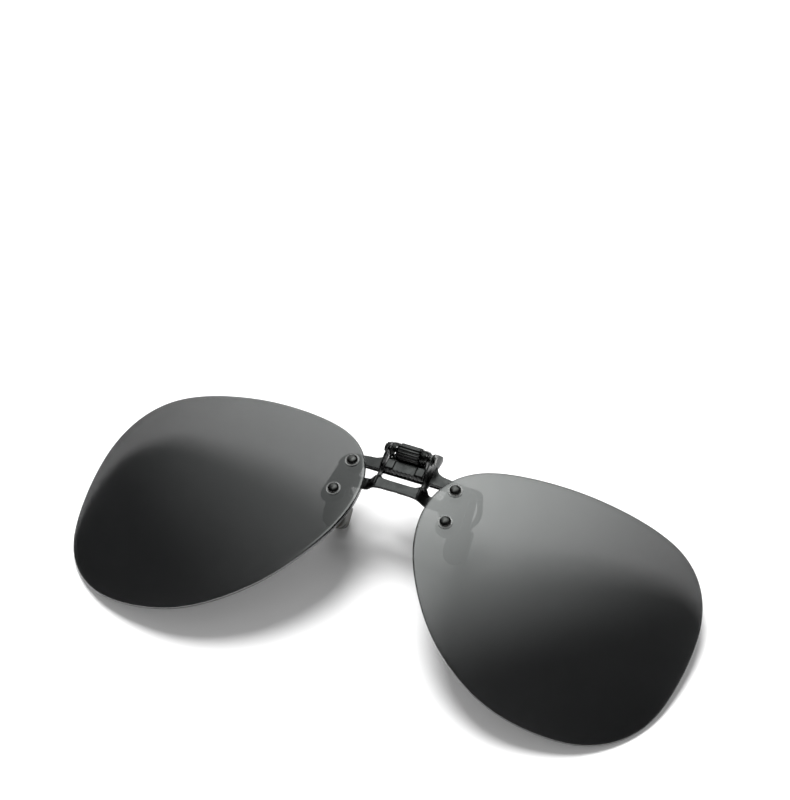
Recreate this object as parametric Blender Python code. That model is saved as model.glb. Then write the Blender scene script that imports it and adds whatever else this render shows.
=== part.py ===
"""Clip-on flip-up sunglass lenses: two rimless aviator lenses on a sheet-metal bridge that flips
up about an axle, and a sprung two-jaw clip that grips a pair of glasses.

Run with blender --background --python part.py, or from Blender's text editor. Metres, +Z up.
The object lies on a table as it is put down: lens fronts up, lens bottoms toward -Y, and the
hinge side held up by the clip behind it. The pieces are modelled in the lens frame, in
millimetres: x to the right, y up along the lenses, z out of their fronts, with its origin on the
lens sphere halfway between the lenses.
"""
import math

import bmesh
import bpy
from mathutils import Matrix, Vector

MM = 0.001

# Driving dimensions, in millimetres and degrees.
REST_TILT = 4.4             # lens plane to table
LENS_RADIUS = 175.0         # one sphere carries both lens fronts
LENS_THICK = 1.1
RIVETS = {"upper": (11.65, 3.2), "lower": (12.6, -4.5)}
RIVET_HEAD_R = 1.2
RIVET_HEAD_HIGH = 0.62
SHANK_R = 0.55
TAIL_R = 0.95
BUSH_R = 0.88
BUSH_FLANGE_R = 1.55
FIT = 0.07                  # clearance between pieces that touch on the real object

HINGE = (7.5, 1.5)          # y and z of the axle
AXLE_R = 0.5
BORE_R = 0.57
BARREL_R = 1.82
BARREL_HALF = 2.5
JAW_EAR = (2.56, 2.84)      # x span of each layer along the axle, from the middle outward
COIL = (2.9, 3.8)
LUG = (3.86, 4.14)
BRIDGE_EAR = (4.75, 5.1)
EAR_LEAN = 0.5              # how far each ear's back edge leans outward
WAVE_WASHER = (5.2, 5.35)
CAP = (5.42, 5.75)

SHEET = 0.6                 # lens bridge sheet
JAW_SHEET = 0.7
LEG_SLOPE = 34.0            # jaw legs to the lens plane
LEG_X = (12.2, 15.2)        # inner and outer edge of a leg
REAR_TOP = (9.2, -7.8)      # y and z of the middle of each jaw's top edge
REAR_LONG = 15.14
REAR_NECK = 14.0            # inner edge of the rear legs above their knees
REAR_KNEE = 8.2             # distance down the leg
REAR_BOW = 2.2              # how far they bow backward above it, to clear a glasses rim
REAR_FOOT_X = (12.6, 14.4)  # inner and outer edge below it
FRONT_TOP = (6.5, -4.43)
FRONT_LONG = 14.78
CROSSBAR = 1.6
FRONT_SLEEVE = (5.1, 7.8)   # width and length of each silicone sleeve
REAR_SLEEVE = (3.0, 5.2)
SLEEVE_THICK = 2.26
SLEEVE_LIP = 0.9            # silicone past the end of the leg


# ---------------------------------------------------------------- small helpers

def arc(cx, cy, r, start, end, steps):
    """Points on an arc, angles in degrees, both ends included."""
    out = []
    for i in range(steps + 1):
        a = math.radians(start + (end - start) * i / steps)
        out.append((cx + r * math.cos(a), cy + r * math.sin(a)))
    return out


def smooth_loop(points, steps):
    """Closed Catmull-Rom curve through the points."""
    out = []
    for i in range(len(points)):
        p0, p1, p2, p3 = (Vector(points[(i + k - 1) % len(points)]) for k in range(4))
        for s in range(steps):
            t = s / steps
            out.append(0.5 * (2 * p1 + (p2 - p0) * t + (2 * p0 - 5 * p1 + 4 * p2 - p3) * t ** 2
                              + (3 * p1 - p0 - 3 * p2 + p3) * t ** 3))
    return out


def smoothstep(low, high, value):
    t = min(max((value - low) / (high - low), 0.0), 1.0)
    return t * t * (3 - 2 * t)


def sphere_z(x, y):
    """Height of the lens front surface."""
    return math.sqrt(LENS_RADIUS ** 2 - x * x - y * y) - LENS_RADIUS


def object_from(bm, name):
    """A new object from a bmesh in millimetres of the lens frame."""
    bmesh.ops.remove_doubles(bm, verts=bm.verts, dist=1e-5)
    bmesh.ops.recalc_face_normals(bm, faces=bm.faces)
    bmesh.ops.scale(bm, vec=(MM, MM, MM), verts=bm.verts)
    mesh = bpy.data.meshes.new(name)
    bm.to_mesh(mesh)
    bm.free()
    obj = bpy.data.objects.new(name, mesh)
    bpy.context.scene.collection.objects.link(obj)
    return obj


def prism(name, outline, low, high, axis="x"):
    """An outline of (x, y), or of (y, z) for axis x, extruded from low to high."""
    def point(a, b, h):
        return (h, a, b) if axis == "x" else (a, b, h)
    bm = bmesh.new()
    ring = [bm.verts.new(point(a, b, low)) for a, b in outline]
    face = bm.faces.new(ring)
    moved = bmesh.ops.extrude_face_region(bm, geom=[face])["geom"]
    shift = Vector(point(0, 0, high - low))
    bmesh.ops.translate(bm, vec=shift, verts=[v for v in moved if isinstance(v, bmesh.types.BMVert)])
    return object_from(bm, name)


def turned(name, profile, segments, place):
    """A closed (radius, height) profile turned about its height axis; place is a 4x4 matrix."""
    bm = bmesh.new()
    rings = []
    for r, h in profile:
        count = segments if r > 0 else 1
        rings.append([bm.verts.new(place @ Vector((r * math.cos(2 * math.pi * k / segments),
                                                   r * math.sin(2 * math.pi * k / segments), h)))
                      for k in range(count)])
    on_axis = profile[0][0] == 0
    for a, b in zip(rings, rings[1:] if on_axis else rings[1:] + rings[:1]):
        for k in range(segments):
            n = (k + 1) % segments
            corners = [a[k % len(a)], a[n % len(a)], b[n % len(b)], b[k % len(b)]]
            bm.faces.new(list(dict.fromkeys(corners)))
    return object_from(bm, name)


def along_x(x=0.0):
    """Places a turned piece on the axle, its height axis along +X."""
    return Matrix.Translation((x, *HINGE)) @ Matrix.Rotation(math.radians(90), 4, "Y")


def axle_bore(x):
    """Cutter for the hole that the axle runs in, 2 mm long about x."""
    return turned("bore", [(0, -1), (BORE_R, -1), (BORE_R, 1), (0, 1)], 20, along_x(x))


def ring_profile(inner, outer, low, high):
    return [(inner, low), (outer, low), (outer, high), (inner, high)]


def boolean(target, tools, operation):
    """Joins or cuts with the EXACT solver, applies it and removes the tools."""
    for tool in tools:
        mod = target.modifiers.new(operation, "BOOLEAN")
        mod.operation = operation
        mod.object = tool
    bpy.context.view_layer.update()
    mesh = bpy.data.meshes.new_from_object(target.evaluated_get(bpy.context.evaluated_depsgraph_get()))
    target.modifiers.clear()
    old = target.data
    target.data = mesh
    bpy.data.meshes.remove(old)
    mesh.name = target.name
    for tool in tools:
        bpy.data.objects.remove(tool)
    return target


def mirrored(obj, name):
    """A copy mirrored to the other side of the middle plane."""
    bm = bmesh.new()
    bm.from_mesh(obj.data)
    bmesh.ops.scale(bm, vec=(-1, 1, 1), verts=bm.verts)
    bmesh.ops.reverse_faces(bm, faces=bm.faces)
    mesh = bpy.data.meshes.new(name)
    bm.to_mesh(mesh)
    bm.free()
    copy = bpy.data.objects.new(name, mesh)
    bpy.context.scene.collection.objects.link(copy)
    return copy


# ---------------------------------------------------------------- materials

def finish(name, color, roughness, metallic, alpha=1.0):
    mat = bpy.data.materials.new(name)
    mat.use_nodes = True
    shader = mat.node_tree.nodes["Principled BSDF"]
    shader.inputs["Base Color"].default_value = (*color, 1)
    shader.inputs["Roughness"].default_value = roughness
    shader.inputs["Metallic"].default_value = metallic
    shader.inputs["Alpha"].default_value = alpha
    mat.diffuse_color = (*color, 1)
    return mat


def give(obj, mat):
    obj.data.materials.clear()
    obj.data.materials.append(mat)
    obj.data.shade_smooth()
    obj.data.set_sharp_from_angle(angle=math.radians(32))


# ---------------------------------------------------------------- lenses and their fixings

def rivet_place(which):
    """Frame on the lens front at a rivet, its height axis along the outward normal."""
    x, y = RIVETS[which]
    normal = Vector((x, y, LENS_RADIUS + sphere_z(x, y))).normalized()
    return Matrix.Translation((x, y, sphere_z(x, y))) @ normal.to_track_quat("Z", "Y").to_matrix().to_4x4()


def right_lens():
    """An aviator outline cut from a spherical shell, with a hole for each rivet's bush."""
    outline = smooth_loop([(9.1, -13.7), (7.7, 0.7), (16.5, 10.3), (38.7, 13.8), (58.8, 10.2),
                           (67.4, -3.2), (65.7, -25.9), (54.6, -37.4), (36.1, -38.5), (20.1, -29.6)], 6)
    middle = Vector((38.0, -12.0))
    back_radius = LENS_RADIUS - LENS_THICK
    bm = bmesh.new()
    layers = []
    for back in (False, True):
        rings = []
        for share in (1.0, 0.8, 0.6, 0.4, 0.2):
            ring = []
            for p in outline:
                x, y = middle + (p - middle) * share
                point = Vector((x, y, sphere_z(x, y)))
                if back:
                    centre = Vector((0, 0, -LENS_RADIUS))
                    point = centre + (point - centre) * (back_radius / LENS_RADIUS)
                ring.append(bm.verts.new(point))
            rings.append(ring)
        layers.append(rings)
    count = len(outline)

    def band(a, b):
        for k in range(count):
            bm.faces.new((a[k], a[(k + 1) % count], b[(k + 1) % count], b[k]))
    for rings in layers:
        for a, b in zip(rings, rings[1:]):
            band(a, b)
        bm.faces.new(rings[-1])
    band(layers[0][0], layers[1][0])
    lens = object_from(bm, "right_lens")
    holes = [turned("hole", [(0, -4), (BUSH_R + FIT, -4), (BUSH_R + FIT, 4), (0, 4)], 24, rivet_place(w))
             for w in RIVETS]
    return boolean(lens, holes, "DIFFERENCE")


def lens_fixings(which):
    """Rivet, clear flanged bush and rear washer at one hole; heights run out of the lens front."""
    place = rivet_place(which)
    flange_top = FIT + 0.22
    head = flange_top + FIT
    tail = -LENS_THICK - 0.35 - SHEET - FIT
    dome = [(RIVET_HEAD_R * math.cos(math.radians(a)), head + 0.12 + (RIVET_HEAD_HIGH - 0.12)
             * math.sin(math.radians(a))) for a in (0, 22, 45, 68)]
    rivet = turned("right_rivet_" + which,
                   [(0, tail - 0.32), (TAIL_R * 0.7, tail - 0.3), (TAIL_R, tail - 0.12), (TAIL_R, tail),
                    (SHANK_R, tail), (SHANK_R, head), (RIVET_HEAD_R, head), *dome,
                    (0, head + RIVET_HEAD_HIGH)], 20, place)
    bore = SHANK_R + FIT
    bush = turned("right_bush_" + which,
                  [(bore, -LENS_THICK), (BUSH_R, -LENS_THICK), (BUSH_R, FIT), (BUSH_FLANGE_R, FIT),
                   (BUSH_FLANGE_R, flange_top), (bore, flange_top)], 24, place)
    washer = turned("right_rear_washer_" + which,
                    ring_profile(bore, 1.4, -LENS_THICK - 0.27, -LENS_THICK - FIT), 20, place)
    return rivet, bush, washer


# ---------------------------------------------------------------- the lens bridge

def bridge_blank():
    """The bridge sheet seen from the front, right half: lower bar, gusset, window, plate, upper bar."""
    ux, uy = RIVETS["upper"]
    lx, ly = RIVETS["lower"]
    foot, head = BRIDGE_EAR
    half = [(0, -1.35), (3.5, -1.45), (6.0, -1.75), (9.6, -1.75)]
    half += arc(lx + 0.35, ly, 2.6, 150, 360, 14)
    half += arc(ux + 0.55, uy, 2.7, -20, 90, 8)
    half += [(9.0, 6.2), (7.6, 6.3), (6.6, 6.65), (6.0, 7.2), (head + EAR_LEAN, 8.0)]
    half += [(foot + EAR_LEAN, 8.0), (foot + EAR_LEAN, 3.75), (foot, 3.0), (foot, 2.1), (3.7, 0.95)]
    half += [(1.8, 0.85)]
    left = [(-x, y) for x, y in reversed(half) if x > 0]
    return half + [(0, 0.85)] + left


def bridge_height(x, y):
    """Front face of the sheet: behind the lenses at the sides, bowed forward between them."""
    x = abs(x)
    behind = -1.88 - (x - RIVETS["upper"][0]) * 0.0665
    bow = (1 - smoothstep(4.6, 6.9, x)) * (1 - smoothstep(1.0, 3.0, y))
    return behind + (0.15 - behind) * bow


def bridge_ear(side):
    """A side plate that carries the axle, leaning outward behind it, with a lip along its top."""
    outline = [(10.9, -2.3), (10.9, -1.6), (10.5, -0.7), (9.9, 0.3), (9.2, 1.5), (8.5, 2.25), (7.5, 2.6)]
    outline += [(5.4, 2.35), (3.5, 1.9), (2.7, 1.3), (1.9, 0.6), (0.9, 0.5), (-0.9, 0.45), (-0.9, -0.75)]
    outline += [(2.6, -2.0), (8.0, -2.3), (9.5, -2.75), (10.6, -2.8)]
    low, high = sorted(side * x for x in BRIDGE_EAR)
    ear = prism("ear", outline, low, high)
    low, high = sorted((side * (LUG[1] + 0.3), side * (BRIDGE_EAR[1] - 0.02)))
    lip = prism("lip", [(10.85, -2.25), (10.85, -1.6), (10.45, -0.72), (9.85, 0.28), (9.55, 0.1),
                        (10.15, -0.85), (10.5, -1.65), (10.5, -2.25)], low, high)
    boolean(ear, [lip], "UNION")
    boolean(ear, [axle_bore(side * sum(BRIDGE_EAR) / 2)], "DIFFERENCE")
    bm = bmesh.new()
    bm.from_mesh(ear.data)
    for z in (0.1, -0.3, -0.8, -1.3, -1.7):
        bmesh.ops.bisect_plane(bm, geom=bm.verts[:] + bm.edges[:] + bm.faces[:],
                               plane_co=Vector((0, 0, z)) * MM, plane_no=(0, 0, 1))
    for v in bm.verts:
        lean = EAR_LEAN * smoothstep(-0.1, 1.7, -v.co.z / MM) * smoothstep(1.0, 3.0, v.co.y / MM)
        v.co.x += side * lean * MM
    bmesh.ops.triangulate(bm, faces=bm.faces)
    bm.to_mesh(ear.data)
    bm.free()
    return ear


def lens_bridge():
    """One sheet bent over the gap between the lenses, with an ear on each side for the axle."""
    outline = bridge_blank()
    window = [(5.55, 3.75), (5.5, 2.3), (6.5, 1.0), (8.9, 0.75), (9.5, 1.2), (9.5, 3.3), (9.0, 3.75)]
    sheet = prism("lens_bridge", outline, -20, 20, "z")
    windows = [prism("window", [(side * x, y) for x, y in window], -30, 30, "z") for side in (1, -1)]
    boolean(sheet, windows, "DIFFERENCE")
    bm = bmesh.new()
    bm.from_mesh(sheet.data)
    bends_x = (1.0, 4.6, 5.2, 5.75, 6.3, 6.9)
    bends_y = (1.0, 1.7, 2.4, 3.0)
    cuts = [((side * x, 0, 0), (1, 0, 0)) for side in (1, -1) for x in bends_x]
    cuts += [((0, y, 0), (0, 1, 0)) for y in bends_y]
    for co, no in cuts:
        bmesh.ops.bisect_plane(bm, geom=bm.verts[:] + bm.edges[:] + bm.faces[:],
                               plane_co=Vector(co) * MM, plane_no=no)
    for v in bm.verts:
        front = bridge_height(v.co.x / MM, v.co.y / MM)
        v.co.z = (front if v.co.z > 0 else front - SHEET) * MM
    bmesh.ops.triangulate(bm, faces=bm.faces)
    bm.to_mesh(sheet.data)
    bm.free()

    boolean(sheet, [bridge_ear(side) for side in (1, -1)], "UNION")
    holes = []
    for which in RIVETS:
        hole = turned("rivet_hole", [(0, -4), (SHANK_R + FIT, -4), (SHANK_R + FIT, 0), (0, 0)], 20,
                      rivet_place(which))
        holes += [hole, mirrored(hole, "rivet_hole")]
    return boolean(sheet, holes, "DIFFERENCE")


# ---------------------------------------------------------------- the hinge line

def hinge_pieces():
    """Axle, ridged grip barrel, springs, wave washers and caps, all on the hinge line."""
    axle = turned("flip_axle", [(0, -5.36), (AXLE_R, -5.36), (AXLE_R, 5.36), (0, 5.36)], 20, along_x())
    ridges = 12
    bm = bmesh.new()
    place = along_x()
    rings = []
    # Flutes run the full length; the barrel's ends are rounded over.
    ends = ((0.86, BARREL_HALF), (1.0, BARREL_HALF - 0.35))
    for share, h in [(s, -h) for s, h in ends] + list(reversed(ends)):
        ring = []
        for k in range(ridges * 4):
            a = 2 * math.pi * k / (ridges * 4)
            r = BARREL_R * share - (0.2 if k % 4 in (0, 1) else 0.0)
            ring.append(bm.verts.new(place @ Vector((r * math.cos(a), r * math.sin(a), h))))
        rings.append(ring)
    for h in (BARREL_HALF, -BARREL_HALF):
        rings.append([bm.verts.new(place @ Vector((BORE_R * math.cos(2 * math.pi * k / (ridges * 4)),
                                                   BORE_R * math.sin(2 * math.pi * k / (ridges * 4)), h)))
                      for k in range(ridges * 4)])
    for a, b in zip(rings, rings[1:] + rings[:1]):
        for k in range(ridges * 4):
            n = (k + 1) % (ridges * 4)
            bm.faces.new((a[k], a[n], b[n], b[k]))
    barrel = object_from(bm, "grip_barrel")
    spring = torsion_spring()
    washer = turned("right_wave_washer", ring_profile(BORE_R, 1.2, 0, WAVE_WASHER[1] - WAVE_WASHER[0]), 20,
                    along_x(WAVE_WASHER[0]))
    cap_long = CAP[1] - CAP[0]
    cap_profile = [(0, 0), (0.85, 0), (0.85, cap_long - 0.12), (0.6, cap_long), (0, cap_long)]
    cap = turned("right_axle_cap", cap_profile, 20, along_x(CAP[0]))
    return axle, barrel, spring, washer, cap


def torsion_spring():
    """Close-wound coil of round wire about the axle, with cut ends."""
    turns, per_turn, sides = 2.5, 16, 6
    wire_r = 0.12
    coil_r = 1.48
    span = COIL[1] - COIL[0] - 2 * wire_r
    steps = int(turns * per_turn)
    bm = bmesh.new()
    rings = []
    for i in range(steps + 1):
        a = 2 * math.pi * i / per_turn
        x = COIL[0] + wire_r + span * i / steps
        out = Vector((0, math.cos(a), math.sin(a)))
        centre = Vector((x, *HINGE)) + out * coil_r
        rings.append([bm.verts.new(centre + out * wire_r * math.cos(2 * math.pi * k / sides)
                                   + Vector((1, 0, 0)) * wire_r * math.sin(2 * math.pi * k / sides))
                      for k in range(sides)])
    for a, b in zip(rings, rings[1:]):
        for k in range(sides):
            n = (k + 1) % sides
            bm.faces.new((a[k], a[n], b[n], b[k]))
    bm.faces.new(rings[0])
    bm.faces.new(list(reversed(rings[-1])))
    return object_from(bm, "right_torsion_spring")


# ---------------------------------------------------------------- the jaws

def leg_frame(top):
    """Frame of a jaw's leg sheet: x across, y down the leg, z out of the sheet's back."""
    a = math.radians(LEG_SLOPE)
    down = Vector((0, -math.cos(a), -math.sin(a)))
    across = Vector((1, 0, 0))
    back = across.cross(down)
    turn = Matrix((across, down, back)).transposed().to_4x4()
    return Matrix.Translation((0, *top)) @ turn


def leg_sheet(name, top, long, foot=LEG_X, neck=LEG_X[0], knee=0.0):
    """An upside-down U: a crossbar with a leg at each end. A leg with a knee is narrow and bows
    backward above it."""
    outer = LEG_X[1]
    corner = 1.8
    half = arc(outer - corner, corner, corner, -90, 0, 4)
    half += [(outer, knee - 1.5), (foot[1], knee)] if knee else []
    half += [(foot[1], long), (foot[0], long)]
    half += [(foot[0], knee), (neck, knee - 1.5)] if knee else []
    half += arc(neck - 1.0, CROSSBAR + 1.0, 1.0, 0, -90, 3)
    sheet = prism(name, half + [(-x, y) for x, y in reversed(half)], -JAW_SHEET / 2, JAW_SHEET / 2, "z")
    if knee:
        bm = bmesh.new()
        bm.from_mesh(sheet.data)
        steps = 8
        for i in range(1, steps + 1):
            y = CROSSBAR + (knee - CROSSBAR) * i / steps
            bmesh.ops.bisect_plane(bm, geom=bm.verts[:] + bm.edges[:] + bm.faces[:], dist=1e-6,
                                   plane_co=(0, y * MM, 0), plane_no=(0, 1, 0))
        for v in bm.verts:
            share = (v.co.y / MM - CROSSBAR) / (knee - CROSSBAR)
            if 0 < share < 1:
                v.co.z += REAR_BOW * MM * math.sin(math.pi * share) ** 2
        bmesh.ops.triangulate(bm, faces=bm.faces)
        bm.to_mesh(sheet.data)
        bm.free()
    sheet.data.transform(Matrix.Scale(MM, 4) @ leg_frame(top) @ Matrix.Scale(1 / MM, 4))
    return sheet


def band(name, path, thick, half_wide):
    """A strip of sheet that follows a (y, z) path, centred on it."""
    left, right = [], []
    for i, p in enumerate(path):
        before = Vector(path[max(i - 1, 0)])
        after = Vector(path[min(i + 1, len(path) - 1)])
        d = (after - before).normalized()
        n = Vector((-d.y, d.x)) * thick / 2
        left.append(Vector(p) + n)
        right.append(Vector(p) - n)
    return prism(name, left + right[::-1], -half_wide, half_wide)


def eye(name, span, radius, toward):
    """A lug around the axle at |x| in span, with a tail to the (y, z) points toward."""
    cy, cz = HINGE
    first = math.degrees(math.atan2(toward[0][1] - cz, toward[0][0] - cy))
    outline = arc(cy, cz, radius, first + 75, first + 285, 12) + toward
    pieces = []
    for side in (1, -1):
        low, high = sorted(side * x for x in span)
        lug = prism(name, outline, low, high)
        pieces.append(boolean(lug, [axle_bore(side * sum(span) / 2)], "DIFFERENCE"))
    return pieces


def front_jaw():
    """Front jaw: a block with a serrated lip under the barrel, lugs on the axle, a tongue back over
    the glasses' rim, and a leg each side."""
    teeth, lip, wide = 9, 2.95, 4.3
    pitch = 2 * wide / teeth
    edge = []
    for i in range(teeth):
        left = -wide + i * pitch
        edge += [(left, lip + 0.24), (left + pitch * 0.3, lip), (left + pitch * 0.7, lip)]
    edge.append((wide, lip + 0.24))
    block = prism("front_jaw", edge + [(wide, 5.5), (-wide, 5.5)], -0.55, 0.75, "z")
    cheeks = []
    for side in (1, -1):
        low, high = sorted((side * 2.5, side * (wide - 0.05)))
        cheeks.append(prism("cheek", [(3.25, 0.6), (5.35, 0.6), (5.35, 0.95), (3.25, 0.95)], low, high))
    wall = prism("wall", [(4.5, -0.5), (7.6, -0.7), (7.6, -1.15), (4.5, -1.1)], -wide + 0.05, wide - 0.05)
    tongue = band("tongue", [(4.3, -0.3), (5.0, -1.6), (5.9, -3.3), (6.35, -4.6)], 0.8, 3.2)
    lugs = eye("lug", LUG, 1.55, [(5.2, 0.9), (4.2, 0.6), (4.2, -0.4), (5.3, -0.4), (6.3, 0.35)])
    legs = leg_sheet("front_legs", FRONT_TOP, FRONT_LONG)
    return boolean(block, [*cheeks, wall, tongue, *lugs, legs], "UNION")


def rear_jaw():
    """Rear jaw: ears on the axle, a crown that is pressed to open the clip, and a leg each side."""
    path = [(9.9, -1.6), (11.2, -3.0), (11.6, -4.8), (10.9, -6.6), (9.0, -8.0)]
    crown = band("rear_jaw", path, JAW_SHEET, JAW_EAR[1])
    ears = eye("ear", JAW_EAR, 1.6, [(9.3, -1.5), (10.4, -2.6), (10.9, -2.3), (9.6, -0.5)])
    legs = leg_sheet("rear_legs", REAR_TOP, REAR_LONG, REAR_FOOT_X, REAR_NECK, REAR_KNEE)
    return boolean(crown, [*ears, legs], "UNION")


def sleeve(name, top, long, foot, size):
    """Silicone sleeve over the end of the right leg of a jaw: flat faces, round end, open pocket."""
    middle = sum(foot) / 2
    r = size[0] / 2
    end = long + SLEEVE_LIP
    start = end - size[1]
    outline = [(middle - r, start + 0.5), (middle - r + 0.5, start),
               (middle + r - 0.5, start), (middle + r, start + 0.5)]
    outline += arc(middle, end - r, r, 0, 180, 12)
    pad = prism(name, outline, -SLEEVE_THICK / 2, SLEEVE_THICK / 2, "z")
    half = (foot[1] - foot[0]) / 2 + FIT
    pocket = prism("pocket", [(middle - half, -20), (middle + half, -20), (middle + half, long + FIT),
                              (middle - half, long + FIT)], -JAW_SHEET / 2 - FIT, JAW_SHEET / 2 + FIT, "z")
    boolean(pad, [pocket], "DIFFERENCE")
    pad.data.transform(Matrix.Scale(MM, 4) @ leg_frame(top) @ Matrix.Scale(1 / MM, 4))
    return pad


# ---------------------------------------------------------------- assembly

def empty(name, location, parent=None):
    obj = bpy.data.objects.new(name, None)
    bpy.context.scene.collection.objects.link(obj)
    obj.location = location
    obj.parent = parent
    return obj


def stand_on_floor(frame):
    """Moves the whole object so that its box's bottom centre is the origin."""
    bpy.context.view_layer.update()
    points = [o.matrix_world @ v.co for o in bpy.data.objects if o.type == "MESH" for v in o.data.vertices]
    low = Vector([min(p[i] for p in points) for i in range(3)])
    high = Vector([max(p[i] for p in points) for i in range(3)])
    frame.location -= Vector(((low.x + high.x) / 2, (low.y + high.y) / 2, low.z))


def both_sides(obj):
    return [obj, mirrored(obj, obj.name.replace("right_", "left_"))]


def main():
    for obj in list(bpy.data.objects):
        bpy.data.objects.remove(obj)
    black = finish("black_metal", (0.018, 0.02, 0.018), 0.35, 1.0)
    steel = finish("spring_steel", (0.12, 0.12, 0.115), 0.3, 1.0)
    tint = finish("tinted_lens", (0.06, 0.065, 0.07), 0.05, 0.0, 0.8)
    clear = finish("clear_plastic", (0.8, 0.8, 0.8), 0.2, 0.0, 0.5)
    silicone = finish("silicone", (0.1, 0.1, 0.095), 0.45, 0.0)

    frame = empty("lens_frame", (0, 0, 0))
    frame.rotation_euler.x = math.radians(REST_TILT)
    hinge = Vector((0, *HINGE)) * MM
    clamp_hinge = empty("clamp_hinge", hinge, frame)
    flip_hinge = empty("flip_hinge", (0, 0, 0), clamp_hinge)

    def add(parent, mat, *pieces):
        for piece in pieces:
            give(piece, mat)
            piece.parent = parent
            if parent is not frame:
                piece.location = -hinge

    add(flip_hinge, tint, *both_sides(right_lens()))
    for which in RIVETS:
        rivet, bush, washer = lens_fixings(which)
        add(flip_hinge, black, *both_sides(rivet))
        add(flip_hinge, clear, *both_sides(bush), *both_sides(washer))
    add(flip_hinge, black, lens_bridge())

    axle, barrel, spring, washer, cap = hinge_pieces()
    add(clamp_hinge, black, axle, barrel, *both_sides(cap))
    add(clamp_hinge, steel, *both_sides(spring))
    add(flip_hinge, steel, *both_sides(washer))

    add(clamp_hinge, black, front_jaw())
    front = sleeve("right_front_sleeve", FRONT_TOP, FRONT_LONG, LEG_X, FRONT_SLEEVE)
    add(clamp_hinge, silicone, *both_sides(front))
    add(frame, black, rear_jaw())
    rear = sleeve("right_rear_sleeve", REAR_TOP, REAR_LONG, REAR_FOOT_X, REAR_SLEEVE)
    add(frame, silicone, *both_sides(rear))
    stand_on_floor(frame)


main()
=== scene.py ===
"""Looks of the clip-on flip-up lenses: tinted lenses, black sheet metal, ridged grip, springs and
silicone sleeves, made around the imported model.

Shapes are worked out in the lens frame, in millimetres: x to the right, y up along the lenses, z
out of their fronts, with its origin on the lens sphere halfway between the lenses.
"""
import math

import bmesh
import bpy
from mathutils import Matrix, Vector


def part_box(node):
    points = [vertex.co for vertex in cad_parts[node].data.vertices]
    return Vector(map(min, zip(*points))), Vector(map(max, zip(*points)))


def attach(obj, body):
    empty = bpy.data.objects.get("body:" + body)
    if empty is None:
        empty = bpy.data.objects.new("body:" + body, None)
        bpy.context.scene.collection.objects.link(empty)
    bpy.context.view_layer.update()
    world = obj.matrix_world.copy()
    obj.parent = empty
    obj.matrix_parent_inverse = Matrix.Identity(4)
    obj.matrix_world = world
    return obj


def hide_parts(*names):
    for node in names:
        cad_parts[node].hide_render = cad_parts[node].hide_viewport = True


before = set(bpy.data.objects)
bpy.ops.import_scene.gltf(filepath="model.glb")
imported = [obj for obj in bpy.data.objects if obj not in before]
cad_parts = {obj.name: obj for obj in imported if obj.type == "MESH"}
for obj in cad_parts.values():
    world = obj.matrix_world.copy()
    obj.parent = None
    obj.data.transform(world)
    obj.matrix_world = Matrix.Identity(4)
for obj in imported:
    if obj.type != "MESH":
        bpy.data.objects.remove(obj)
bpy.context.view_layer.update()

# The part's own dimensions, in millimetres and degrees.
REST_TILT = 4.4
LENS_RADIUS = 175.0
LENS_THICK = 1.1
LENS_OUTLINE = [(9.1, -13.7), (7.7, 0.7), (16.5, 10.3), (38.7, 13.8), (58.8, 10.2),
                (67.4, -3.2), (65.7, -25.9), (54.6, -37.4), (36.1, -38.5), (20.1, -29.6)]
LENS_MIDDLE = Vector((38.0, -12.0))
RIVETS = {"upper": (11.65, 3.2), "lower": (12.6, -4.5)}
HINGE = (7.5, 1.5)
SHANK_R = 0.55
BUSH_R = 0.88
FIT = 0.07
BORE_R = 0.57
BARREL_R = 1.82
BARREL_HALF = 2.5
COIL = (2.9, 3.8)
WAVE_WASHER = 5.2
AXLE_END = 5.36
CAP = 5.42
SHEET = 0.6
RIVET_HEAD_R = 1.2
RIVET_TAIL_R = 0.95
BUSH_FLANGE = (1.55, 0.29)   # its radius, and how far it stands above the lens

# The camera: the direction it sees the object from, how far away it is, and where the lens
# frame's origin falls in the picture, in picture heights right of and below its middle.
CAMERA_TURN = 29.0
CAMERA_RISE = 51.95
CAMERA_ROLL = -6.9
CAMERA_AWAY = 0.731
CAMERA_AIM = (0.003, 0.1084)
PICTURE_HEIGHT = 0.1651      # metres seen from top to bottom at the object

# The studio, in metres and degrees: a white table and room, a key lamp above and behind, and a
# softly glowing card overhead that the lenses mirror.
TABLE_WHITE = 0.9
ROOM_FILL = 0.35
ROOM_GLOSS = 0.01
KEY_PLACE = (-0.25, 0.5, 1.0)
KEY_SIZE = 0.7
KEY_POWER = 22.0
CARD_HIGH = 0.62
CARD_SEAM = (-0.31, -0.13)
# Its two ovals, left and right of the seam: place, turn, radii, inner and outer end of the fade, glow.
LEFT_OVAL = ((0.06, 0.614), -30.6, (1.293, 0.438), (0.0, 1.973), 1.62)
RIGHT_OVAL = ((-0.529, 0.153), -62.1, (0.357, 0.776), (0.0, 1.417), 3.95)


def hinge_centre():
    low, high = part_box("flip_axle")
    return (Vector(low) + Vector(high)) / 2


TILT = Matrix.Rotation(math.radians(REST_TILT), 4, "X")
LENS_FRAME = (Matrix.Translation(hinge_centre()) @ TILT @ Matrix.Scale(0.001, 4)
              @ Matrix.Translation((0, -HINGE[0], -HINGE[1])))


# ---------------------------------------------------------------- mesh helpers

def piece(bm, name, angle=32):
    """A new object from a bmesh in millimetres of the lens frame."""
    bmesh.ops.recalc_face_normals(bm, faces=bm.faces)
    mesh = bpy.data.meshes.new(name)
    bm.to_mesh(mesh)
    bm.free()
    mesh.transform(LENS_FRAME)
    mesh.shade_smooth()
    mesh.set_sharp_from_angle(angle=math.radians(angle))
    obj = bpy.data.objects.new(name, mesh)
    bpy.context.scene.collection.objects.link(obj)
    return obj


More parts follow.
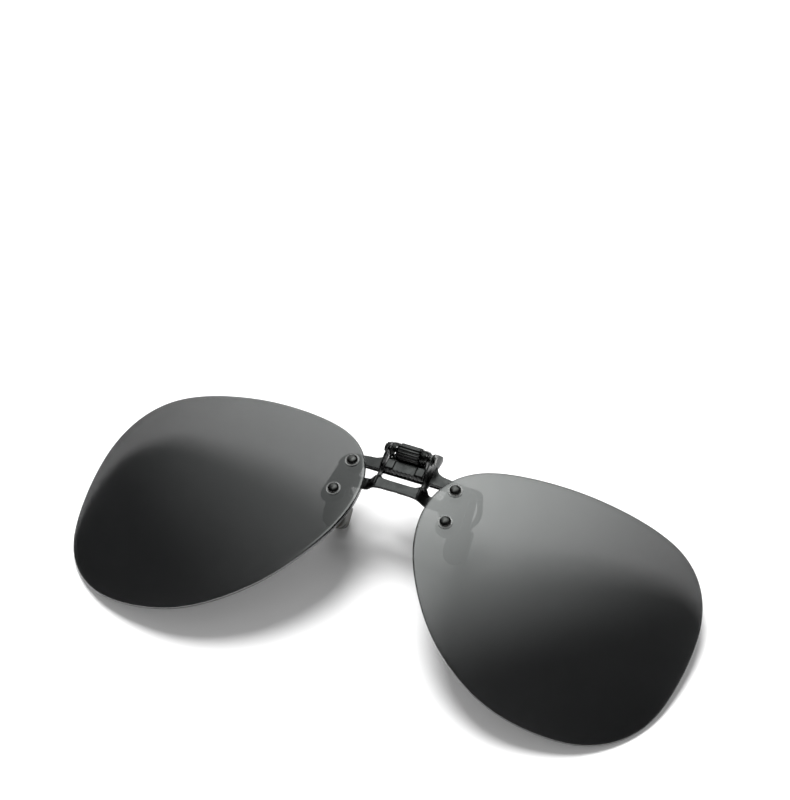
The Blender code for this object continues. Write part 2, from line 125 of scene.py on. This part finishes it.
def apply_modifiers(obj):
    bpy.context.view_layer.update()
    shown = obj.evaluated_get(bpy.context.evaluated_depsgraph_get())
    mesh = bpy.data.meshes.new_from_object(shown)
    obj.modifiers.clear()
    obj.data = mesh


def smooth_loop(points, steps):
    """Closed Catmull-Rom curve through the points."""
    out = []
    for i in range(len(points)):
        p0, p1, p2, p3 = (Vector(points[(i + k - 1) % len(points)]) for k in range(4))
        for s in range(steps):
            t = s / steps
            out.append(0.5 * (2 * p1 + (p2 - p0) * t + (2 * p0 - 5 * p1 + 4 * p2 - p3) * t ** 2
                              + (3 * p1 - p0 - 3 * p2 + p3) * t ** 3))
    return out


def skin(bm, rings, closed=False, slot=0):
    """Quads between rings of the same length, or triangles to a ring of one point."""
    pairs = list(zip(rings, rings[1:] + rings[:1])) if closed else list(zip(rings, rings[1:]))
    for a, b in pairs:
        count = max(len(a), len(b))
        for k in range(count):
            n = (k + 1) % count
            corners = [a[k % len(a)], a[n % len(a)], b[n % len(b)], b[k % len(b)]]
            bm.faces.new(list(dict.fromkeys(corners))).material_index = slot


def turned(name, profile, place, segments=48, closed=True, wave=None):
    """A (radius, height) profile turned about its height axis; wave bends it by angle."""
    bm = bmesh.new()
    rings = []
    for r, h in profile:
        ring = []
        for k in range(segments if r > 0 else 1):
            a = 2 * math.pi * k / segments
            lift = wave(a) if wave else 0.0
            ring.append(bm.verts.new(place @ Vector((r * math.cos(a), r * math.sin(a), h + lift))))
        rings.append(ring)
    skin(bm, rings, closed=profile[0][0] > 0 and closed)
    return piece(bm, name)


def rounded(corners, radius, steps=4):
    """A (radius, height) profile with its listed corners rounded; axis points stay."""
    out = []
    count = len(corners)
    for i, c in enumerate(corners):
        if c[0] == 0:
            out.append(c)
            continue
        here = Vector(c)
        before = Vector(corners[i - 1])
        after = Vector(corners[(i + 1) % count])
        r = min(radius, (before - here).length * 0.45, (after - here).length * 0.45)
        start = here + (before - here).normalized() * r
        end = here + (after - here).normalized() * r
        for s in range(steps + 1):
            t = s / steps
            p = start * (1 - t) ** 2 + here * 2 * t * (1 - t) + end * t * t
            out.append((p.x, p.y))
    return out


def along_x(x=0.0):
    """Places a turned piece on the axle, its height axis along +X."""
    return Matrix.Translation((x, *HINGE)) @ Matrix.Rotation(math.radians(90), 4, "Y")


def sphere_z(x, y):
    """Height of the lens front surface."""
    return math.sqrt(LENS_RADIUS ** 2 - x * x - y * y) - LENS_RADIUS


def rivet_place(which):
    """Frame on the lens front at a rivet, its height axis along the outward normal."""
    x, y = RIVETS[which]
    normal = Vector((x, y, LENS_RADIUS + sphere_z(x, y))).normalized()
    turn = normal.to_track_quat("Z", "Y").to_matrix().to_4x4()
    return Matrix.Translation((x, y, sphere_z(x, y))) @ turn


def left_copy(obj, name):
    """The same piece mirrored to the left side."""
    bm = bmesh.new()
    bm.from_mesh(obj.data)
    bmesh.ops.scale(bm, vec=(-1, 1, 1), verts=bm.verts)
    bmesh.ops.reverse_faces(bm, faces=bm.faces)
    mesh = obj.data.copy()
    bm.to_mesh(mesh)
    bm.free()
    mesh.name = name
    copy = bpy.data.objects.new(name, mesh)
    bpy.context.scene.collection.objects.link(copy)
    return copy


# ---------------------------------------------------------------- materials

def new_material(name):
    mat = bpy.data.materials.new(name)
    mat.use_nodes = True
    tree = mat.node_tree
    return mat, tree, tree.nodes["Principled BSDF"]


def noise(tree, scale, detail=4.0, rough=0.5, stretch=None):
    """Object-space noise, scaled per metre."""
    coord = tree.nodes.new("ShaderNodeTexCoord")
    tex = tree.nodes.new("ShaderNodeTexNoise")
    tex.inputs["Scale"].default_value = scale
    tex.inputs["Detail"].default_value = detail
    tex.inputs["Roughness"].default_value = rough
    source = coord.outputs["Object"]
    if stretch:
        mapping = tree.nodes.new("ShaderNodeMapping")
        mapping.inputs["Scale"].default_value = stretch
        tree.links.new(source, mapping.inputs["Vector"])
        source = mapping.outputs["Vector"]
    tree.links.new(source, tex.inputs["Vector"])
    return tex.outputs["Fac"]


def spread(tree, source, low, high):
    """Maps a 0 to 1 value to low to high."""
    node = tree.nodes.new("ShaderNodeMapRange")
    node.inputs["From Min"].default_value = 0.3
    node.inputs["From Max"].default_value = 0.7
    node.inputs["To Min"].default_value = low
    node.inputs["To Max"].default_value = high
    tree.links.new(source, node.inputs["Value"])
    return node.outputs["Result"]


def mix_colour(tree, source, first, second):
    node = tree.nodes.new("ShaderNodeValToRGB")
    node.color_ramp.elements[0].position = 0.35
    node.color_ramp.elements[0].color = (*first, 1)
    node.color_ramp.elements[1].position = 0.65
    node.color_ramp.elements[1].color = (*second, 1)
    tree.links.new(source, node.inputs["Fac"])
    return node.outputs["Color"]


def bump(tree, shader, source, height, strength=1.0):
    node = tree.nodes.new("ShaderNodeBump")
    node.inputs["Strength"].default_value = strength
    node.inputs["Distance"].default_value = height
    tree.links.new(source, node.inputs["Height"])
    tree.links.new(node.outputs["Normal"], shader.inputs["Normal"])


def lens_material():
    """Smoke-tinted polarised plastic: thin, glossy and dark. Its two skins together pass about a
    fifteenth of the light."""
    mat, tree, shader = new_material("tinted_lens")
    haze = noise(tree, 60.0, detail=3.0)
    tint = mix_colour(tree, haze, (0.002, 0.0024, 0.0028), (0.003, 0.0034, 0.0038))
    tree.links.new(tint, shader.inputs["Base Color"])
    shader.inputs["Alpha"].default_value = 0.74
    shader.inputs["IOR"].default_value = 2.26
    shader.inputs["Specular IOR Level"].default_value = 0.5
    smear = noise(tree, 220.0, detail=5.0, stretch=(1.0, 3.0, 1.0))
    tree.links.new(spread(tree, smear, 0.02, 0.045), shader.inputs["Roughness"])
    return mat


def lens_edge_material():
    """The ground and polished rim of a lens, seen end on: almost opaque."""
    mat, tree, shader = new_material("tinted_lens_edge")
    grain = noise(tree, 4000.0)
    tint = mix_colour(tree, grain, (0.012, 0.014, 0.015), (0.03, 0.033, 0.034))
    tree.links.new(tint, shader.inputs["Base Color"])
    tree.links.new(spread(tree, grain, 0.12, 0.25), shader.inputs["Roughness"])
    shader.inputs["Alpha"].default_value = 0.92
    return mat


def black_metal(name, dark, light, smooth, rough, grain_height):
    """Black-plated metal: satin, with fine tumbled grain and slightly polished patches."""
    mat, tree, shader = new_material(name)
    patches = noise(tree, 350.0, detail=6.0)
    tree.links.new(mix_colour(tree, patches, dark, light), shader.inputs["Base Color"])
    wear = noise(tree, 900.0, detail=4.0)
    tree.links.new(spread(tree, wear, smooth, rough), shader.inputs["Roughness"])
    shader.inputs["Metallic"].default_value = 1.0
    bump(tree, shader, noise(tree, 9000.0, detail=3.0), grain_height, 0.35)
    return mat


def clear_plastic():
    """Clear moulded plastic, faintly milky."""
    mat, tree, shader = new_material("clear_plastic")
    cloud = noise(tree, 1500.0)
    tint = mix_colour(tree, cloud, (0.36, 0.37, 0.36), (0.44, 0.45, 0.44))
    tree.links.new(tint, shader.inputs["Base Color"])
    tree.links.new(spread(tree, cloud, 0.12, 0.28), shader.inputs["Roughness"])
    shader.inputs["Alpha"].default_value = 0.3
    return mat


def silicone():
    """Smoky, slightly translucent silicone with a dusty, uneven surface."""
    mat, tree, shader = new_material("silicone")
    cloud = noise(tree, 500.0, detail=5.0)
    tint = mix_colour(tree, cloud, (0.085, 0.085, 0.078), (0.12, 0.12, 0.11))
    tree.links.new(tint, shader.inputs["Base Color"])
    tree.links.new(spread(tree, noise(tree, 2500.0), 0.38, 0.55), shader.inputs["Roughness"])
    shader.inputs["Subsurface Weight"].default_value = 0.35
    shader.inputs["Subsurface Radius"].default_value = (0.002, 0.0016, 0.001)
    shader.inputs["Subsurface Scale"].default_value = 0.5
    bump(tree, shader, noise(tree, 5000.0, detail=3.0), 0.00002, 0.4)
    return mat


def spring_steel():
    """Blackened drawn wire with fine streaks."""
    mat, tree, shader = new_material("spring_steel")
    streak = noise(tree, 5000.0, detail=4.0)
    tint = mix_colour(tree, streak, (0.05, 0.052, 0.05), (0.11, 0.112, 0.108))
    tree.links.new(tint, shader.inputs["Base Color"])
    tree.links.new(spread(tree, streak, 0.22, 0.36), shader.inputs["Roughness"])
    shader.inputs["Metallic"].default_value = 1.0
    return mat


MATERIALS = {
    "lens": lens_material(),
    "edge": lens_edge_material(),
    "black": black_metal("black_metal", (0.055, 0.056, 0.056), (0.08, 0.081, 0.081), 0.24, 0.36, 12e-6),
    "rivet": black_metal("black_rivet", (0.1, 0.1, 0.098), (0.14, 0.14, 0.137), 0.22, 0.32, 6e-6),
    "grip": black_metal("black_grip", (0.06, 0.061, 0.06), (0.09, 0.091, 0.09), 0.24, 0.36, 12e-6),
    "clear": clear_plastic(),
    "silicone": silicone(),
    "spring": spring_steel(),
}


def finish_piece(obj, look, body, *nodes):
    """Gives a piece its material and its body, and hides the CAD nodes it stands for."""
    obj.data.materials.clear()
    obj.data.materials.append(MATERIALS[look])
    if look == "lens":
        obj.data.materials.append(MATERIALS["edge"])
    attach(obj, body)
    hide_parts(*nodes)


def both_sides(obj, look, body):
    """Finishes a right-hand piece named right_NODE_look and its left-hand copy."""
    node = obj.name.removesuffix("_look")
    other = left_copy(obj, obj.name.replace("right_", "left_"))
    finish_piece(obj, look, body, node)
    finish_piece(other, look, body, node.replace("right_", "left_"))


# ---------------------------------------------------------------- lenses and their fixings

def make_lenses():
    """A polished spherical shell with a rounded rim and a hole for each bush."""
    outline = smooth_loop(LENS_OUTLINE, 24)
    count = len(outline)
    inward = []
    for k in range(count):
        along = (outline[(k + 1) % count] - outline[k - 1]).normalized()
        inward.append(Vector((along.y, -along.x)))
    rim = 0.34
    bm = bmesh.new()

    def ring(inset, share, depth):
        out = []
        for p, n in zip(outline, inward):
            x, y = LENS_MIDDLE + (p + n * inset - LENS_MIDDLE) * share
            point = Vector((x, y, sphere_z(x, y)))
            centre = Vector((0, 0, -LENS_RADIUS))
            out.append(bm.verts.new(centre + (point - centre) * (1 - depth / LENS_RADIUS)))
        return out
    shares = [0.985] + [1.0 - 0.0625 * k for k in range(1, 16)]
    front = [ring(rim, s, 0.0) for s in reversed(shares)]
    back = [ring(rim, s, LENS_THICK) for s in shares]
    corner = [math.radians(90 * k / 4) for k in range(5)]
    upper = [ring(rim * (1 - math.sin(a)), 1.0, rim * (1 - math.cos(a))) for a in corner]
    lower = [ring(rim * (1 - math.cos(a)), 1.0, LENS_THICK - rim * (1 - math.sin(a))) for a in corner]
    skin(bm, front + [upper[0]])
    skin(bm, upper + lower, slot=1)
    skin(bm, [lower[-1]] + back)
    bm.faces.new(front[0])
    bm.faces.new(back[-1])
    lens = piece(bm, "right_lens_look")
    cutters = []
    for which in RIVETS:
        through = [(0, -4), (BUSH_R + FIT, -4), (BUSH_R + FIT, 4), (0, 4)]
        cutter = turned("cutter", through, rivet_place(which))
        mod = lens.modifiers.new("hole", "BOOLEAN")
        mod.object = cutter
        cutters.append(cutter)
    apply_modifiers(lens)
    for cutter in cutters:
        bpy.data.objects.remove(cutter)
    lens.data.set_sharp_from_angle(angle=math.radians(40))
    both_sides(lens, "lens", "lens_group")


def make_fixings():
    """Domed rivets, clear flanged bushes and clear rear washers."""
    flange_r, flange_top = BUSH_FLANGE
    head = flange_top + 0.02
    tail = -LENS_THICK - 0.35 - SHEET - FIT
    for which in RIVETS:
        place = rivet_place(which)
        dome = [(RIVET_HEAD_R * math.cos(math.radians(a)), head + 0.14 + 0.52 * math.sin(math.radians(a)))
                for a in range(0, 90, 8)]
        formed = [(0, tail - 0.34), (0.5, tail - 0.33), (0.8, tail - 0.24), (RIVET_TAIL_R, tail - 0.1),
                  (RIVET_TAIL_R - 0.02, tail)]
        shank = [(SHANK_R, tail), (SHANK_R, head), (RIVET_HEAD_R - 0.06, head)]
        shank.append((RIVET_HEAD_R - 0.01, head + 0.05))
        profile = [*formed, *shank, *dome, (0, head + 0.66)]
        rivet = turned("right_rivet_%s_look" % which, profile, place, closed=False)
        both_sides(rivet, "rivet", "lens_group")
        bore = SHANK_R + FIT / 2
        bush = rounded([(bore, -LENS_THICK), (BUSH_R, -LENS_THICK), (BUSH_R, 0.02), (flange_r, 0.02),
                        (flange_r, flange_top), (bore, flange_top)], 0.09)
        both_sides(turned("right_bush_%s_look" % which, bush, place), "clear", "lens_group")
        washer = rounded([(bore, -LENS_THICK - 0.3), (1.4, -LENS_THICK - 0.3), (1.4, -LENS_THICK - 0.03),
                          (bore, -LENS_THICK - 0.03)], 0.07)
        both_sides(turned("right_rear_washer_%s_look" % which, washer, place), "clear", "lens_group")


# ---------------------------------------------------------------- sheet-metal pieces

def softened(node, look, body, voxel=0.09, passes=6, factor=0.5):
    """The node's own shape, remeshed in millimetres, with its edges worn round."""
    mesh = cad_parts[node].data.copy()
    mesh.transform(Matrix.Scale(1000, 4))
    obj = bpy.data.objects.new(node + "_look", mesh)
    bpy.context.scene.collection.objects.link(obj)
    remesh = obj.modifiers.new("remesh", "REMESH")
    remesh.mode = "VOXEL"
    remesh.voxel_size = voxel
    smooth = obj.modifiers.new("smooth", "SMOOTH")
    smooth.factor = factor
    smooth.iterations = passes
    apply_modifiers(obj)
    obj.data.transform(Matrix.Scale(0.001, 4))
    obj.data.shade_smooth()
    finish_piece(obj, look, body, node)
    return obj


# ---------------------------------------------------------------- the hinge line

def make_barrel():
    """Grip barrel with twelve round-topped ridges, its ends rounded over."""
    ridges, per_ridge = 12, 12
    count = ridges * per_ridge
    ends = [(0.80, 0.0), (0.87, 0.04), (0.93, 0.12), (0.975, 0.24), (1.0, 0.42)]
    stations = [(share, -BARREL_HALF + h) for share, h in ends]
    stations += [(share, BARREL_HALF - h) for share, h in reversed(ends)]
    place = along_x()
    bm = bmesh.new()
    rings = []
    for share, h in stations:
        ring = []
        for k in range(count):
            a = 2 * math.pi * k / count
            phase = abs(math.sin(ridges * a / 2)) ** 0.6
            r = BARREL_R * share - 0.24 * (1 - phase)
            ring.append(bm.verts.new(place @ Vector((r * math.cos(a), r * math.sin(a), h))))
        rings.append(ring)
    for h in (BARREL_HALF, -BARREL_HALF):
        rings.append([bm.verts.new(place @ Vector((BORE_R * math.cos(2 * math.pi * k / count),
                                                   BORE_R * math.sin(2 * math.pi * k / count), h)))
                      for k in range(count)])
    skin(bm, rings, closed=True)
    finish_piece(piece(bm, "grip_barrel_look", angle=50), "grip", "front_jaw", "grip_barrel")


def make_springs():
    """Close-wound torsion coils of round wire."""
    turns, per_turn, sides, wire_r, coil_r = 3.5, 40, 10, 0.13, 1.48
    span = COIL[1] - COIL[0] - 2 * wire_r
    steps = int(turns * per_turn)
    bm = bmesh.new()
    path = []
    for i in range(steps + 1):
        a = 2 * math.pi * i / per_turn
        x = COIL[0] + wire_r + span * i / steps
        path.append(Vector((x, HINGE[0] + coil_r * math.cos(a), HINGE[1] + coil_r * math.sin(a))))
    rings = []
    for i, p in enumerate(path):
        d = (path[min(i + 1, steps)] - path[max(i - 1, 0)]).normalized()
        side = Vector((1, 0, 0))
        other = d.cross(side).normalized()
        rings.append([bm.verts.new(p + (side * math.cos(2 * math.pi * k / sides)
                                        + other * math.sin(2 * math.pi * k / sides)) * wire_r)
                      for k in range(sides)])
    skin(bm, rings)
    bm.faces.new(rings[0])
    bm.faces.new(rings[-1])
    both_sides(piece(bm, "right_torsion_spring_look"), "spring", "front_jaw")


def make_axle():
    """Axle, its caps and the wave washers that give the flip its friction."""
    half = [(0.5, AXLE_END - 0.06), (0.45, AXLE_END), (0, AXLE_END)]
    profile = [(r, -h) for r, h in reversed(half)] + half
    axle = turned("flip_axle_look", profile, along_x(), closed=False)
    finish_piece(axle, "rivet", "front_jaw", "flip_axle")
    cap = [(0, 0), *rounded([(0.85, 0), (0.85, 0.24), (0.55, 0.33)], 0.08), (0, 0.33)]
    both_sides(turned("right_axle_cap_look", cap, along_x(CAP), closed=False), "rivet", "front_jaw")
    washer = rounded([(BORE_R, 0.04), (1.2, 0.04), (1.2, 0.11), (BORE_R, 0.11)], 0.02, 2)
    both_sides(turned("right_wave_washer_look", washer, along_x(WAVE_WASHER), segments=72,
                      wave=lambda a: 0.035 * math.sin(3 * a)), "spring", "lens_group")


# ---------------------------------------------------------------- stage, lights and camera

def link(name, data):
    obj = bpy.data.objects.new(name, data)
    bpy.context.scene.collection.objects.link(obj)
    return obj


def flat_square(name, half):
    bm = bmesh.new()
    bmesh.ops.create_grid(bm, x_segments=1, y_segments=1, size=half)
    mesh = bpy.data.meshes.new(name)
    bm.to_mesh(mesh)
    bm.free()
    return link(name, mesh)


def make_table():
    table = flat_square("table", 3.0)
    mat, tree, shader = new_material("table")
    shader.inputs["Base Color"].default_value = (TABLE_WHITE, TABLE_WHITE, TABLE_WHITE, 1)
    shader.inputs["Roughness"].default_value = 0.8
    shader.inputs["Specular IOR Level"].default_value = 0.0
    table.data.materials.append(mat)


def make_room():
    """A white room that lights the table, but that glossy surfaces see as dark."""
    world = bpy.data.worlds.new("room")
    bpy.context.scene.world = world
    world.use_nodes = True
    tree = world.node_tree
    background = tree.nodes["Background"]
    background.inputs["Color"].default_value = (1.0, 1.0, 1.0, 1)
    rays = tree.nodes.new("ShaderNodeLightPath")
    strength = tree.nodes.new("ShaderNodeMapRange")
    strength.inputs["To Min"].default_value = ROOM_FILL
    strength.inputs["To Max"].default_value = ROOM_GLOSS
    tree.links.new(rays.outputs["Is Glossy Ray"], strength.inputs["Value"])
    tree.links.new(strength.outputs["Result"], background.inputs["Strength"])
    bpy.context.scene.view_settings.view_transform = "Standard"


def make_key_lamp():
    """The big soft lamp above and behind; it is left out of reflections."""
    lamp = bpy.data.lights.new("key_lamp", "AREA")
    lamp.shape = "DISK"
    lamp.energy = KEY_POWER
    lamp.size = KEY_SIZE
    obj = link("key_lamp", lamp)
    obj.location = KEY_PLACE
    obj.rotation_euler = (-Vector(KEY_PLACE)).to_track_quat("-Z", "Y").to_euler()
    obj.visible_glossy = False


def oval(tree, coord, place, turn, radii, fade, glow):
    """Brightness of a soft-edged oval on the card."""
    frame_of = tree.nodes.new("ShaderNodeMapping")
    frame_of.vector_type = "TEXTURE"
    frame_of.inputs["Location"].default_value = (*place, 0)
    frame_of.inputs["Rotation"].default_value = (0, 0, math.radians(turn))
    frame_of.inputs["Scale"].default_value = (*radii, 1)
    length = tree.nodes.new("ShaderNodeVectorMath")
    length.operation = "LENGTH"
    soft = tree.nodes.new("ShaderNodeMapRange")
    soft.interpolation_type = "SMOOTHSTEP"
    soft.inputs["From Min"].default_value, soft.inputs["From Max"].default_value = fade
    soft.inputs["To Min"].default_value = glow
    soft.inputs["To Max"].default_value = 0.0
    tree.links.new(coord, frame_of.inputs["Vector"])
    tree.links.new(frame_of.outputs["Vector"], length.inputs[0])
    tree.links.new(length.outputs["Value"], soft.inputs["Value"])
    return soft.outputs["Result"]


def make_gloss_card():
    """A card overhead with two soft glowing ovals, which only shows as a reflection."""
    card = flat_square("gloss_card", 2.2)
    card.location.z = CARD_HIGH
    mat = bpy.data.materials.new("gloss_card")
    mat.use_nodes = True
    tree = mat.node_tree
    tree.nodes.clear()
    coord = tree.nodes.new("ShaderNodeTexCoord").outputs["Object"]
    across = tree.nodes.new("ShaderNodeSeparateXYZ")
    seam = tree.nodes.new("ShaderNodeMapRange")
    seam.interpolation_type = "SMOOTHSTEP"
    seam.inputs["From Min"].default_value, seam.inputs["From Max"].default_value = CARD_SEAM
    both = tree.nodes.new("ShaderNodeMix")
    glow = tree.nodes.new("ShaderNodeEmission")
    glow.inputs["Color"].default_value = (0.96, 1.0, 0.98, 1)
    clear = tree.nodes.new("ShaderNodeBsdfTransparent")
    add = tree.nodes.new("ShaderNodeAddShader")
    out = tree.nodes.new("ShaderNodeOutputMaterial")
    tree.links.new(coord, across.inputs[0])
    tree.links.new(across.outputs["X"], seam.inputs["Value"])
    tree.links.new(seam.outputs["Result"], both.inputs["Factor"])
    tree.links.new(oval(tree, coord, *LEFT_OVAL), both.inputs["A"])
    tree.links.new(oval(tree, coord, *RIGHT_OVAL), both.inputs["B"])
    tree.links.new(both.outputs["Result"], glow.inputs["Strength"])
    tree.links.new(glow.outputs["Emission"], add.inputs[0])
    tree.links.new(clear.outputs["BSDF"], add.inputs[1])
    tree.links.new(add.outputs["Shader"], out.inputs["Surface"])
    card.data.materials.append(mat)
    card.visible_camera = False
    card.visible_diffuse = False
    card.visible_transmission = False
    card.visible_shadow = False


def make_camera():
    turn, rise = math.radians(CAMERA_TURN), math.radians(CAMERA_RISE)
    away = Vector((math.sin(turn) * math.cos(rise), -math.cos(turn) * math.cos(rise), math.sin(rise)))
    target = LENS_FRAME @ Vector((0, 0, 0))
    data = bpy.data.cameras.new("camera")
    data.sensor_width = 36.0
    data.lens = data.sensor_width * CAMERA_AWAY / PICTURE_HEIGHT
    data.clip_start = 0.01
    camera = bpy.data.objects.new("camera", data)
    bpy.context.scene.collection.objects.link(camera)
    camera.location = target + away * CAMERA_AWAY
    look = (-away).to_track_quat("-Z", "Y").to_matrix().to_4x4()
    per_height = PICTURE_HEIGHT / CAMERA_AWAY
    pitch = Matrix.Rotation(math.atan(CAMERA_AIM[1] * per_height), 4, "X")
    yaw = Matrix.Rotation(math.atan(CAMERA_AIM[0] * per_height), 4, "Y")
    roll = Matrix.Rotation(math.radians(CAMERA_ROLL), 4, "Z")
    camera.rotation_euler = (look @ roll @ pitch @ yaw).to_euler()
    bpy.context.scene.camera = camera


make_camera()
make_table()
make_room()
make_key_lamp()
make_gloss_card()
make_lenses()
make_fixings()
softened("lens_bridge", "black", "lens_group")
softened("front_jaw", "black", "front_jaw")
softened("rear_jaw", "black", "rear_jaw")
for side in ("left", "right"):
    softened(side + "_front_sleeve", "silicone", "front_jaw", voxel=0.13, passes=14)
    softened(side + "_rear_sleeve", "silicone", "rear_jaw", voxel=0.13, passes=14)
make_barrel()
make_springs()
make_axle()
